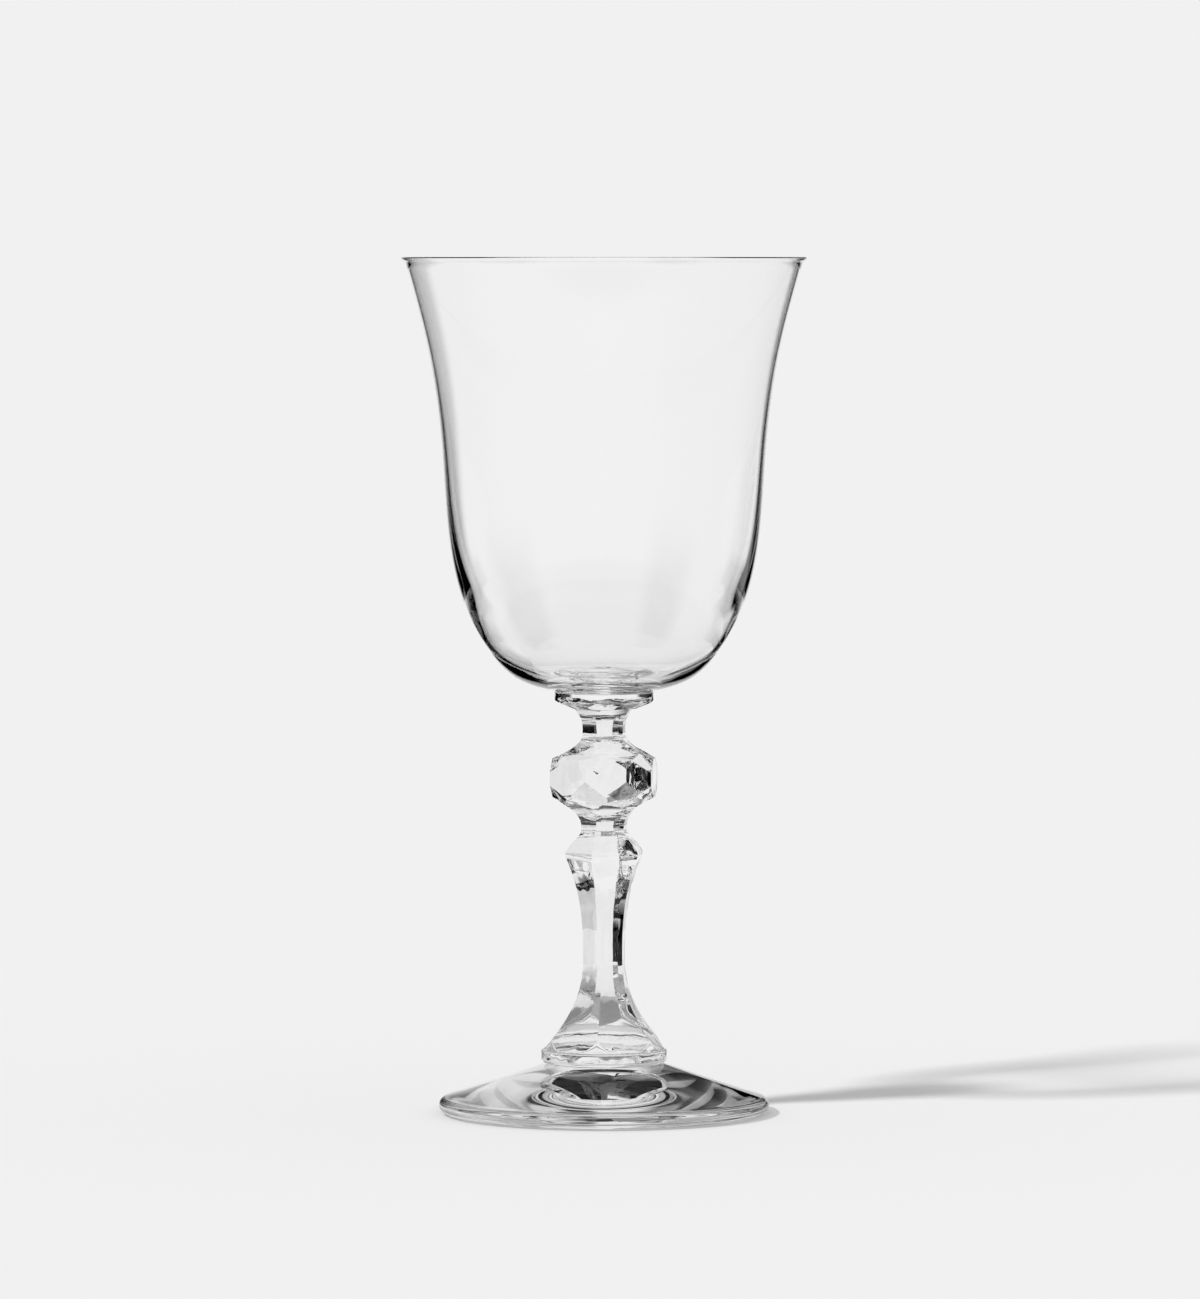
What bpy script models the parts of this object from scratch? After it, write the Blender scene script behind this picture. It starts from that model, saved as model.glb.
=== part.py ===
"""A stemmed red wine glass in clear glass, built from its five hot-welded pieces.

Units are metres and +Z is up. The glass stands on z = 0 with its axis on Z, and the stem has one
of its six corners on -Y. The pieces are stacked from the foot upwards, and each is modelled on its
own lower face and then set on the weld face of the piece below.
"""

import math

import bmesh
import bpy
from mathutils import Vector

# Fineness of the turned shapes
ROUND_STEPS = 48
CURVE_STEPS = 2
SWEEP_STEPS = 6
EDGE_STEPS = 3
MERGE_DISTANCE = 0.000001

# Clearance between the two faces of a hot weld
WELD_GAP = 0.0003

# Foot: a round plate with a full rim, a low domed top and a hollow underside
FOOT_RADIUS = 0.0327
FOOT_HEIGHT = 0.00975
FOOT_RIM_THICKNESS = 0.0031
FOOT_RIM_ROUND = 0.0017
FOOT_DOME_RADIUS = 0.0180
FOOT_DOME_HEIGHT = 0.0075
FOOT_NECK_RISE = 0.0003
FOOT_RING_WIDTH = 0.0028
FOOT_HOLLOW_DEPTH = 0.0022

# Wafer: the full-edged disc between the foot and the stem's bell
WAFER_RADIUS = 0.01245
WAFER_THICKNESS = 0.00245
WAFER_TOP_BEVEL = 0.0004
WAFER_EDGE_HEIGHT = 0.0009
WAFER_WELD_RADIUS = 0.0112

# Stem: six flat sides, with radii measured to the corners and heights from the bell upwards
STEM_SIDES = 6
BELL_CORNER_RADIUS = 0.0134
BELL_FLANGE_RADIUS = 0.0118
BELL_FLANGE_TAPER = 0.0007
BELL_FLANGE_HEIGHT = 0.0024
BELL_HEIGHT = 0.0176
WAIST_RADIUS = 0.0045
WAIST_LENGTH = 0.0012
BALUSTER_LENGTH = 0.0184
BALUSTER_TOP_RADIUS = 0.0078
BAND_HEIGHT = 0.0014
RIDGE_RADIUS = 0.00835
SHOULDER_HEIGHT = 0.0050
LOWER_NECK_RADIUS = 0.00485
PAVILION_HEIGHT = 0.0063
KNOP_RADIUS = 0.0116
GIRDLE_HEIGHT = 0.0077
CROWN_HEIGHT = 0.0048
NECK_RADIUS = 0.0046
NECK_LENGTH = 0.0012
HEAD_FLARE_HEIGHT = 0.0036
HEAD_RADIUS = 0.0064

# How the stem's hollow curves open: the power of the height that the radius follows
BELL_POWER = 2.1
BALUSTER_POWER = 2.5
PAVILION_POWER = 2.5
CROWN_POWER = 2.0
HEAD_POWER = 2.2

# Knop: each corner of the girdle is cut away above and below a short upright edge
CORNER_EDGE_LENGTH = 0.0026
CORNER_CUT_ANGLE = math.radians(39)

# Collar: the disc between stem and bowl, with six shallow facets under it
COLLAR_RADIUS = 0.0098
COLLAR_THICKNESS = 0.0030
COLLAR_SIDE_HEIGHT = 0.0017
COLLAR_TOP_BEVEL = 0.0003
COLLAR_FACETS = 6
COLLAR_BASE_APOTHEM = 0.0060
COLLAR_TURN = math.radians(9.5)

# Bowl: outer radii with their heights above the weld face, and the wall at the same places
BOWL_HEIGHT = 0.0855
RIM_RADIUS = 0.0400
LIP_DROP = 0.0005
LIP_RADIUS = 0.0393
FLARE_HEIGHT = 0.0654
FLARE_RADIUS = 0.03425
THROAT_HEIGHT = 0.0495
THROAT_RADIUS = 0.03205
SIDE_HEIGHT = 0.0298
SIDE_RADIUS = 0.03045
BELLY_HEIGHT = 0.0198
BELLY_RADIUS = 0.0284
TURN_HEIGHT = 0.0095
TURN_RADIUS = 0.0236
HEEL_HEIGHT = 0.0029
HEEL_RADIUS = 0.0176
SEAT_RISE = 0.0008
SEAT_RADIUS = 0.0126
BOWL_WELD_RADIUS = 0.0090
RIM_WALL = 0.0007
THROAT_WALL = 0.0009
SIDE_WALL = 0.0013
BELLY_WALL = 0.0020
TURN_WALL = 0.0018
HEEL_WALL = 0.0018
FLOOR_WALL = 0.0034

# Glass
GLASS_COLOUR = (0.95, 0.96, 0.96, 1.0)
GLASS_ROUGHNESS = 0.02
GLASS_IOR = 1.52
SHARP_ANGLE = math.radians(25)

# Heights at which the pieces stand, one on the other
WAFER_SEAT = FOOT_HEIGHT + WELD_GAP
STEM_SEAT = WAFER_SEAT + WAFER_THICKNESS + WELD_GAP
WAIST_LEVEL = BELL_HEIGHT
BALUSTER_LEVEL = WAIST_LEVEL + WAIST_LENGTH
BAND_LEVEL = BALUSTER_LEVEL + BALUSTER_LENGTH
RIDGE_LEVEL = BAND_LEVEL + BAND_HEIGHT
LOWER_NECK_LEVEL = RIDGE_LEVEL + SHOULDER_HEIGHT
GIRDLE_LEVEL = LOWER_NECK_LEVEL + PAVILION_HEIGHT
CROWN_LEVEL = GIRDLE_LEVEL + GIRDLE_HEIGHT
NECK_LEVEL = CROWN_LEVEL + CROWN_HEIGHT
HEAD_LEVEL = NECK_LEVEL + NECK_LENGTH
STEM_LENGTH = HEAD_LEVEL + HEAD_FLARE_HEIGHT
COLLAR_SEAT = STEM_SEAT + STEM_LENGTH + WELD_GAP
BOWL_SEAT = COLLAR_SEAT + COLLAR_THICKNESS + WELD_GAP


def clear_scene():
    """Remove every object, so that the glass stands alone."""
    for old in list(bpy.data.objects):
        bpy.data.objects.remove(old, do_unlink=True)


def clear_glass(piece_name):
    """Clear colourless glass for one piece."""
    material = bpy.data.materials.new(piece_name + "_glass")
    material.use_nodes = True
    shader = material.node_tree.nodes["Principled BSDF"]
    shader.inputs["Base Color"].default_value = GLASS_COLOUR
    shader.inputs["Metallic"].default_value = 0.0
    shader.inputs["Roughness"].default_value = GLASS_ROUGHNESS
    shader.inputs["IOR"].default_value = GLASS_IOR
    shader.inputs["Transmission Weight"].default_value = 1.0
    return material


def add_piece(name, bm, seat, parent):
    """Make the finished mesh an object of its own that stands at the height of its seat."""
    bmesh.ops.recalc_face_normals(bm, faces=bm.faces)
    mesh = bpy.data.meshes.new(name)
    bm.to_mesh(mesh)
    bm.free()
    mesh.shade_smooth()
    mesh.set_sharp_from_angle(angle=SHARP_ANGLE)
    mesh.materials.append(clear_glass(name))
    piece = bpy.data.objects.new(name, mesh)
    bpy.context.collection.objects.link(piece)
    piece.parent = parent
    piece.location.z = seat
    return piece


def smooth_curve(points, steps=CURVE_STEPS):
    """Points of a smooth curve through the given (radius, height) points."""
    path = [Vector(point) for point in points]
    gaps = [(b - a).length for a, b in zip(path, path[1:])]
    slopes = [(path[1] - path[0]) / gaps[0]]
    for index in range(1, len(path) - 1):
        slopes.append((path[index + 1] - path[index - 1]) / (gaps[index - 1] + gaps[index]))
    slopes.append((path[-1] - path[-2]) / gaps[-1])
    curve = [path[0]]
    for index, gap in enumerate(gaps):
        for step in range(1, steps + 1):
            t = step / steps
            ease = t * t * (3 - 2 * t)
            leave = t * (1 - t) ** 2 * gap
            arrive = t * t * (1 - t) * gap
            point = path[index].lerp(path[index + 1], ease)
            curve.append(point + leave * slopes[index] - arrive * slopes[index + 1])
    return [(max(point.x, 0.0), point.y) for point in curve]


def hollow_sweep(narrow, wide, power):
    """Points after the narrow one up to the wide one, opening slowly and then faster."""
    points = []
    for step in range(1, SWEEP_STEPS + 1):
        t = step / SWEEP_STEPS
        radius = narrow[0] + (wide[0] - narrow[0]) * t**power
        points.append((radius, narrow[1] + (wide[1] - narrow[1]) * t))
    return points


def soft_step(narrow, wide):
    """Points after the narrow one up to the wide one, along a curve that turns over at both ends."""
    points = []
    for step in range(1, SWEEP_STEPS + 1):
        t = step / SWEEP_STEPS
        ease = t * t * (3 - 2 * t)
        points.append((narrow[0] + (wide[0] - narrow[0]) * ease, narrow[1] + (wide[1] - narrow[1]) * t))
    return points


def quarter_round(centre, across, up, start_angle):
    """Points of a quarter turn about the centre, with its half axes across and up."""
    points = []
    for step in range(EDGE_STEPS + 1):
        angle = start_angle - math.pi / 2 * step / EDGE_STEPS
        points.append((centre[0] + across * math.cos(angle), centre[1] + up * math.sin(angle)))
    return points


def spun(outline, steps):
    """A closed body with the outline's (radius, height) points spun about Z, starting on -Y."""
    bm = bmesh.new()
    profile = [bm.verts.new((0.0, -radius, height)) for radius, height in outline]
    edges = [bm.edges.new(pair) for pair in zip(profile, profile[1:])]
    bmesh.ops.spin(
        bm,
        geom=profile + edges,
        cent=(0, 0, 0),
        axis=(0, 0, 1),
        angle=2 * math.pi,
        steps=steps,
        use_merge=True,
    )
    bmesh.ops.remove_doubles(bm, verts=bm.verts, dist=MERGE_DISTANCE)
    bmesh.ops.dissolve_degenerate(bm, edges=bm.edges, dist=MERGE_DISTANCE)
    return bm


def cut_flat(bm, faces, point, normal):
    """Cut the faces off along a plane, on the side that the normal points to, and close the cut."""
    verts = {vert for face in faces for vert in face.verts}
    edges = {edge for face in faces for edge in face.edges}
    cut = bmesh.ops.bisect_plane(
        bm,
        geom=list(faces) + list(edges) + list(verts),
        dist=MERGE_DISTANCE,
        plane_co=point,
        plane_no=normal,
        clear_outer=True,
    )
    rim = [item for item in cut["geom_cut"] if isinstance(item, bmesh.types.BMEdge)]
    bmesh.ops.edgeloop_fill(bm, edges=rim)


def make_foot(parent):
    """The foot, turned: weld face, domed top, full rim, resting ring and hollow underside."""
    rim_top = (FOOT_RADIUS - FOOT_RIM_ROUND, FOOT_RIM_THICKNESS)
    ring_outer = FOOT_RADIUS - FOOT_RIM_ROUND
    ring_inner = ring_outer - FOOT_RING_WIDTH
    dome = smooth_curve(
        [
            (WAFER_WELD_RADIUS, FOOT_HEIGHT),
            (WAFER_RADIUS, FOOT_HEIGHT - FOOT_NECK_RISE),
            (FOOT_DOME_RADIUS, FOOT_DOME_HEIGHT),
            rim_top,
        ]
    )
    half_rim = FOOT_RIM_THICKNESS / 2
    upper_rim = quarter_round((ring_outer, half_rim), FOOT_RIM_ROUND, half_rim, math.pi / 2)
    lower_rim = quarter_round((ring_outer, half_rim), FOOT_RIM_ROUND, half_rim, 0.0)
    hollow = []
    for step in range(SWEEP_STEPS + 1):
        radius = ring_inner * (1 - step / SWEEP_STEPS)
        hollow.append((radius, FOOT_HOLLOW_DEPTH * (1 - (radius / ring_inner) ** 2)))
    outline = [(0.0, FOOT_HEIGHT)] + dome + upper_rim[1:] + lower_rim[1:] + hollow
    return add_piece("foot", spun(outline, ROUND_STEPS), 0.0, parent)


def make_wafer(parent):
    """The wafer, turned: a disc with a soft upper edge and a lower side drawn in to its weld."""
    outline = [
        (0.0, WAFER_THICKNESS),
        (WAFER_RADIUS - WAFER_TOP_BEVEL, WAFER_THICKNESS),
        (WAFER_RADIUS, WAFER_THICKNESS - WAFER_TOP_BEVEL),
    ]
    drawn_in = WAFER_RADIUS - WAFER_WELD_RADIUS
    outline += quarter_round((WAFER_WELD_RADIUS, WAFER_EDGE_HEIGHT), drawn_in, WAFER_EDGE_HEIGHT, 0.0)
    outline.append((0.0, 0.0))
    return add_piece("wafer", spun(outline, ROUND_STEPS), WAFER_SEAT, parent)


def stem_outline():
    """The stem's corner line, as (radius, height) points from its head down to the bell's base."""
    head = hollow_sweep((NECK_RADIUS, HEAD_LEVEL), (HEAD_RADIUS, STEM_LENGTH), HEAD_POWER)
    crown = hollow_sweep((NECK_RADIUS, NECK_LEVEL), (KNOP_RADIUS, CROWN_LEVEL), CROWN_POWER)
    pavilion = hollow_sweep(
        (LOWER_NECK_RADIUS, LOWER_NECK_LEVEL), (KNOP_RADIUS, GIRDLE_LEVEL), PAVILION_POWER
    )
    shoulder = soft_step((LOWER_NECK_RADIUS, LOWER_NECK_LEVEL), (RIDGE_RADIUS, RIDGE_LEVEL))
    baluster = hollow_sweep(
        (WAIST_RADIUS, BALUSTER_LEVEL), (BALUSTER_TOP_RADIUS, BAND_LEVEL), BALUSTER_POWER
    )
    bell = hollow_sweep((WAIST_RADIUS, WAIST_LEVEL), (BELL_CORNER_RADIUS, 0.0), BELL_POWER)
    outline = [(0.0, STEM_LENGTH)]
    outline += head[::-1]
    outline += [(NECK_RADIUS, HEAD_LEVEL), (NECK_RADIUS, NECK_LEVEL)]
    outline += crown
    outline += pavilion[::-1]
    outline.append((LOWER_NECK_RADIUS, LOWER_NECK_LEVEL))
    outline += shoulder
    outline += baluster[::-1]
    outline += [(WAIST_RADIUS, BALUSTER_LEVEL), (WAIST_RADIUS, WAIST_LEVEL)]
    outline += bell
    outline.append((0.0, 0.0))
    return outline


def cut_knop_corners(bm):
    """Cut each corner of the knop away above and below the short upright edge that stays."""
    middle = (GIRDLE_LEVEL + CROWN_LEVEL) / 2
    lowest = GIRDLE_LEVEL - PAVILION_HEIGHT / 2
    highest = CROWN_LEVEL + CROWN_HEIGHT / 2
    lean = math.tan(CORNER_CUT_ANGLE)
    for corner in range(STEM_SIDES):
        angle = 2 * math.pi * corner / STEM_SIDES - math.pi / 2
        outward = Vector((math.cos(angle), math.sin(angle), 0.0))
        for side in (1, -1):
            level = middle + side * CORNER_EDGE_LENGTH / 2
            point = outward * KNOP_RADIUS + Vector((0.0, 0.0, level))
            normal = (outward + Vector((0.0, 0.0, side * lean))).normalized()
            knop = []
            for face in bm.faces:
                if lowest < face.calc_center_median().z < highest:
                    knop.append(face)
            cut_flat(bm, knop, point, normal)


def make_stem(parent):
    """The stem in one piece: a six-sided sweep whose bell is turned round at its base."""
    bm = spun(stem_outline(), STEM_SIDES)
    cut_knop_corners(bm)
    stem = add_piece("stem", bm, STEM_SEAT, parent)

    # The tool that turns the bell's base round, which leaves a scallop at the end of each side
    spare = BELL_CORNER_RADIUS - BELL_FLANGE_RADIUS + BELL_FLANGE_TAPER
    top_radius = BELL_FLANGE_RADIUS - BELL_FLANGE_TAPER
    slope = BELL_FLANGE_TAPER / BELL_FLANGE_HEIGHT
    ring = [
        (top_radius, BELL_FLANGE_HEIGHT),
        (BELL_CORNER_RADIUS + spare, BELL_FLANGE_HEIGHT),
        (BELL_CORNER_RADIUS + spare, -spare),
        (BELL_FLANGE_RADIUS + spare * slope, -spare),
        (top_radius, BELL_FLANGE_HEIGHT),
    ]
    turning = add_piece("bell_turning", spun(ring, ROUND_STEPS), 0.0, stem)
    turning.hide_render = True
    turning.display_type = "WIRE"
    cut = stem.modifiers.new("turn the base round", "BOOLEAN")
    cut.operation = "DIFFERENCE"
    cut.solver = "EXACT"
    cut.object = turning
    return stem


def make_collar(parent):
    """The collar: a turned disc with six shallow facets cut under it."""
    outline = [
        (0.0, COLLAR_THICKNESS),
        (COLLAR_RADIUS - COLLAR_TOP_BEVEL, COLLAR_THICKNESS),
        (COLLAR_RADIUS, COLLAR_THICKNESS - COLLAR_TOP_BEVEL),
        (COLLAR_RADIUS, 0.0),
        (0.0, 0.0),
    ]
    bm = spun(outline, ROUND_STEPS)
    facet_height = COLLAR_THICKNESS - COLLAR_SIDE_HEIGHT
    lean = (COLLAR_RADIUS - COLLAR_BASE_APOTHEM) / facet_height
    for facet in range(COLLAR_FACETS):
        angle = 2 * math.pi * (facet + 0.5) / COLLAR_FACETS - math.pi / 2
        outward = Vector((math.cos(angle), math.sin(angle), 0.0))
        normal = (outward - Vector((0.0, 0.0, lean))).normalized()
        cut_flat(bm, list(bm.faces), outward * COLLAR_BASE_APOTHEM, normal)
    collar = add_piece("collar", bm, COLLAR_SEAT, parent)
    collar.rotation_euler.z = COLLAR_TURN
    return collar


def make_bowl(parent):
    """The bowl: an open shell with a flared lip, a rounded rim and a thick floor."""
    rim_round = RIM_WALL / 2
    lip_height = BOWL_HEIGHT - LIP_DROP
    outside = smooth_curve(
        [
            (RIM_RADIUS, BOWL_HEIGHT - rim_round),
            (LIP_RADIUS, lip_height - rim_round),
            (FLARE_RADIUS, FLARE_HEIGHT),
            (THROAT_RADIUS, THROAT_HEIGHT),
            (SIDE_RADIUS, SIDE_HEIGHT),
            (BELLY_RADIUS, BELLY_HEIGHT),
            (TURN_RADIUS, TURN_HEIGHT),
            (HEEL_RADIUS, HEEL_HEIGHT),
            (SEAT_RADIUS, SEAT_RISE),
            (BOWL_WELD_RADIUS, 0.0),
        ]
    )
    inside = smooth_curve(
        [
            (0.0, FLOOR_WALL),
            (SEAT_RADIUS, SEAT_RISE + HEEL_WALL),
            (HEEL_RADIUS, HEEL_HEIGHT + HEEL_WALL),
            (TURN_RADIUS - TURN_WALL / 2, TURN_HEIGHT + TURN_WALL / 2),
            (BELLY_RADIUS - BELLY_WALL, BELLY_HEIGHT),
            (SIDE_RADIUS - SIDE_WALL, SIDE_HEIGHT),
            (THROAT_RADIUS - THROAT_WALL, THROAT_HEIGHT),
            (FLARE_RADIUS - RIM_WALL, FLARE_HEIGHT),
            (LIP_RADIUS - RIM_WALL, lip_height - rim_round),
            (RIM_RADIUS - RIM_WALL, BOWL_HEIGHT - rim_round),
        ]
    )
    rim_centre = (RIM_RADIUS - rim_round, BOWL_HEIGHT - rim_round)
    rim = quarter_round(rim_centre, rim_round, rim_round, math.pi)
    rim += quarter_round(rim_centre, rim_round, rim_round, math.pi / 2)[1:]
    outline = inside + rim[1:] + outside[1:] + [(0.0, 0.0)]
    return add_piece("bowl", spun(outline, ROUND_STEPS), BOWL_SEAT, parent)


def main():
    """Build the five pieces under one empty that stands on the resting plane."""
    clear_scene()
    wine_glass = bpy.data.objects.new("wine_glass", None)
    bpy.context.collection.objects.link(wine_glass)
    make_foot(wine_glass)
    make_wafer(wine_glass)
    make_stem(wine_glass)
    make_collar(wine_glass)
    make_bowl(wine_glass)


main()
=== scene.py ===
"""The looks of a stemmed red wine glass in clear crystal glass.

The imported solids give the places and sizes. Each piece is modelled again here with its fine surface,
and the five pieces meet face to face, as they do where the real ones are welded hot. A weld has no
surface of its own in real glass, so its two faces let light pass straight on.
"""

import math

import bmesh
import bpy
import numpy as np
from bpy.props import FloatProperty, FloatVectorProperty, IntProperty, PointerProperty
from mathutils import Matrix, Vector


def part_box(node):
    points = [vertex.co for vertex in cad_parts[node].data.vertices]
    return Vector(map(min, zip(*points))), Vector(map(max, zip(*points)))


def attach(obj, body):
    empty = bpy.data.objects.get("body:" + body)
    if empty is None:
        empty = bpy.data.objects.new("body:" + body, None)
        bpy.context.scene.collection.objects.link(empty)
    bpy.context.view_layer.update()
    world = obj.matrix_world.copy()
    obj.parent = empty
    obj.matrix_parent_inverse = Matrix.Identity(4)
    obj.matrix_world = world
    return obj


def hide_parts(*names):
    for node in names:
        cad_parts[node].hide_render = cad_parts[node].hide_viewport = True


bl_info = {
    "name": "Red Wine Glass",
    "version": (1, 0, 0),
    "blender": (4, 5, 0),
    "location": "3D View > Sidebar > Wine Glass",
    "description": "Builds a clear stemmed wine glass and the pale studio it stands in",
    "category": "Object",
}

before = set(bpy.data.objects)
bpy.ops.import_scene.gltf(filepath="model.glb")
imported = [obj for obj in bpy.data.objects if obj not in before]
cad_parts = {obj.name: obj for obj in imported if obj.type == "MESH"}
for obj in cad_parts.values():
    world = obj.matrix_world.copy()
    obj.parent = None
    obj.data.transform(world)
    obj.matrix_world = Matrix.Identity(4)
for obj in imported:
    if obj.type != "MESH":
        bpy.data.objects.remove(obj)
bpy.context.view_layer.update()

BODY = "root"

# The levels at which the pieces are welded: half way between the solids' faces
PIECES = ("foot", "wafer", "stem", "collar", "bowl")
LEVEL = {}
for lower, upper in zip(PIECES, PIECES[1:]):
    LEVEL[upper] = (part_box(lower)[1][2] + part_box(upper)[0][2]) / 2
LEVEL["rim"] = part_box("bowl")[1][2]

# How light the studio is round the glass: degrees from straight behind it, as the camera sees it,
# and lightness
STUDIO_WALLS = (
    (-180, 0.95),
    (-150, 0.90),
    (-130, 0.70),
    (-85, 0.60),
    (-62, 0.58),
    (-40, 0.42),
    (-20, 0.22),
    (-11, 0.87),
    (11, 0.87),
    (20, 0.72),
    (75, 0.66),
    (110, 0.85),
    (180, 0.95),
)
# The ceiling is dark to the glass: degrees above level where it starts and is full, and its lightness
CEILING_START = 28
CEILING_END = 35
CEILING_LIGHT = 0.02

# Light that came through this many surfaces without being mirrored is a straight view through the glass
SEEN_THROUGH = 3
ONLY_MIRRORED = 0

# Soft-edged black cards round the glass: where each starts, is full, is last full and ends, in the same
# degrees, the line of its section as distances from the axis and heights, and the number of surfaces
# that light which wasn't mirrored has to stay below to see the card
LOW_CARD = ((0.12, 0.001), (1.0, 0.001), (1.0, 0.15))
NEAR_CARD = ((0.09, 0.001), (0.09, 0.105))
COLLAR_CARD = ((0.085, 0.068), (0.085, 0.09))
STEM_CARD = ((0.085, 0.001), (0.085, 0.07))
FAR_CARD = ((5.0, 0.6), (5.0, 3.4))
BLACK_CARDS = (
    ((-58, -48, -19.5, -14.5), LOW_CARD, ONLY_MIRRORED),
    ((14.5, 19.5, 30, 36), LOW_CARD, ONLY_MIRRORED),
    ((-136, -124, -100, -90), NEAR_CARD, ONLY_MIRRORED),
    ((112, 124, 142, 154), NEAR_CARD, ONLY_MIRRORED),
    ((2, 5, 13, 18), FAR_CARD, ONLY_MIRRORED),
    ((25, 29, 74, 82), COLLAR_CARD, SEEN_THROUGH),
    ((-82, -74, -29, -25), COLLAR_CARD, SEEN_THROUGH),
    ((-75, -65, -30, -24), STEM_CARD, ONLY_MIRRORED),
)
# The share of a card's height over which its top fades out
CARD_SOFT_TOP = 0.35
CARD_STEPS = 24
CARD_BLACK = "#070707"

# The share of the key light that a surface of each glass lets through. Solid pieces bend most of it away.
SHADOW_CLEAR = {
    "blown_crystal_glass": 0.97,
    "fire_polished_collar_glass": 0.3,
    "pressed_crystal_glass": 0.25,
    "fire_polished_wafer_glass": 0.7,
    "spun_foot_glass": 0.7,
}
# A surface turned away from the light lets less through, from this much on, and none at its very edge
SHADOW_EDGE_START = 0.4
# Where the key light shines to, and how wide it looks from the glass, in degrees
KEY_DIRECTION = (0.760, 0.649, -0.966)
KEY_ANGLE = 7

NO_TINT = (1.0, 1.0, 1.0, 1.0)
GLASS_BOUNCES = 24
MIRROR_BOUNCES = 10

MM = 0.001
FLOOR_RADIUS = 40.0
AIR_FILM = 0.2 * MM
AIM_HEIGHT = 91.7 * MM
AIM_LEFT = 0.8 * MM
SENSOR_MM = 36.0

MERGE_DISTANCE = 0.001 * MM
FLAT_NORMAL = 0.999
SIX = 6

# How fast each hollow of the stem opens, as a power, and its number of steps
HEAD_CURVE = (2.2, 20)
CROWN_CURVE = (2.0, 28)
PAVILION_CURVE = (2.5, 34)
BALUSTER_CURVE = (2.5, 60)
BELL_CURVE = (2.1, 70)
SHOULDER_STEPS = 24
BOWL_STEPS = 14
DOME_STEPS = 18
HOLLOW_STEPS = 24

# Edges sharper than this, in degrees, are rounded on the stem or stay crisp in the shading elsewhere
STEM_EDGE = 14
COLLAR_EDGE = 20
DISC_EDGE = 30


def length(name, description, default):
    """A size in metres that a user can change."""
    return FloatProperty(
        name=name,
        description=description,
        default=default,
        min=0.0,
        precision=5,
        subtype="DISTANCE",
        unit="LENGTH",
    )


def turn(name, description, degrees):
    """An angle that a user can change."""
    return FloatProperty(
        name=name,
        description=description,
        default=math.radians(degrees),
        subtype="ANGLE",
        unit="ROTATION",
    )


def number(name, description, default):
    """A plain number that a user can change."""
    return FloatProperty(name=name, description=description, default=default)


def to_linear(colour):
    """The linear RGB of an sRGB hex colour such as #F1F1F1."""
    parts = [int(colour[start : start + 2], 16) / 255 for start in (1, 3, 5)]
    return [part / 12.92 if part <= 0.04045 else ((part + 0.055) / 1.055) ** 2.4 for part in parts]


def colour(name, description, default):
    """A colour that a user can change, given as an sRGB hex value."""
    return FloatVectorProperty(
        name=name,
        description=description,
        default=to_linear(default),
        size=3,
        min=0.0,
        max=1.0,
        subtype="COLOR",
    )


class BowlSizes(bpy.types.PropertyGroup):
    """Outer radii of the bowl with their heights above its weld, and the wall at the same places"""

    rim_radius: length("Rim", "Radius of the rim", 40.0 * MM)
    lip_radius: length("Lip", "Radius where the everted lip starts", 39.2 * MM)
    lip_drop: length("Lip drop", "How far below the rim the lip starts", 0.9 * MM)
    flare_radius: length("Flare", "Radius in the middle of the flare", 34.25 * MM)
    flare_height: length("Flare height", "Height of the middle of the flare", 65.4 * MM)
    throat_radius: length("Throat", "Radius where the flare starts", 32.05 * MM)
    throat_height: length("Throat height", "Height where the flare starts", 49.5 * MM)
    side_radius: length("Side", "Radius of the straight side", 30.45 * MM)
    side_height: length("Side height", "Height of the straight side's end", 29.8 * MM)
    belly_radius: length("Belly", "Radius where the side turns in", 28.4 * MM)
    belly_height: length("Belly height", "Height where the side turns in", 19.8 * MM)
    turn_radius: length("Turn", "Radius half way round the turn", 23.6 * MM)
    turn_height: length("Turn height", "Height half way round the turn", 9.5 * MM)
    heel_radius: length("Heel", "Radius at the end of the turn", 17.6 * MM)
    heel_height: length("Heel height", "Height at the end of the turn", 2.9 * MM)
    seat_radius: length("Seat", "Radius of the nearly flat underside", 12.6 * MM)
    seat_height: length("Seat height", "Height of the nearly flat underside", 0.8 * MM)
    weld_radius: length("Weld", "Radius of the weld to the collar", 9.0 * MM)
    rim_wall: length("Rim wall", "Wall at the rim", 0.55 * MM)
    throat_wall: length("Throat wall", "Wall at the throat", 0.75 * MM)
    side_wall: length("Side wall", "Wall at the side", 1.25 * MM)
    swell_wall: length("Swell wall", "Wall where it starts to swell", 1.75 * MM)
    swell_height: length("Swell height", "Height where the wall starts to swell", 22.8 * MM)
    thick_wall: length("Thick wall", "Wall where it is thickest", 2.1 * MM)
    thick_height: length("Thick height", "Height where the wall is thickest", 16.6 * MM)
    turn_wall: length("Turn wall", "Wall in the turn", 1.75 * MM)
    heel_wall: length("Heel wall", "Wall at the heel", 1.7 * MM)
    floor_wall: length("Floor", "Thickness on the axis", 3.6 * MM)


class CollarSizes(bpy.types.PropertyGroup):
    """The disc between bowl and stem"""

    radius: length("Radius", "Radius of the disc", 9.8 * MM)
    side_height: length("Side", "Height of the upright side above the facets", 1.7 * MM)
    base_apothem: length("Base", "Distance of the facets from the axis at the stem", 6.0 * MM)
    edge: length("Edge", "Width of the rounded edges", 0.25 * MM)
    turn: turn("Turn", "Turn of the facets against the stem's corners", 9.5)


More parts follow.
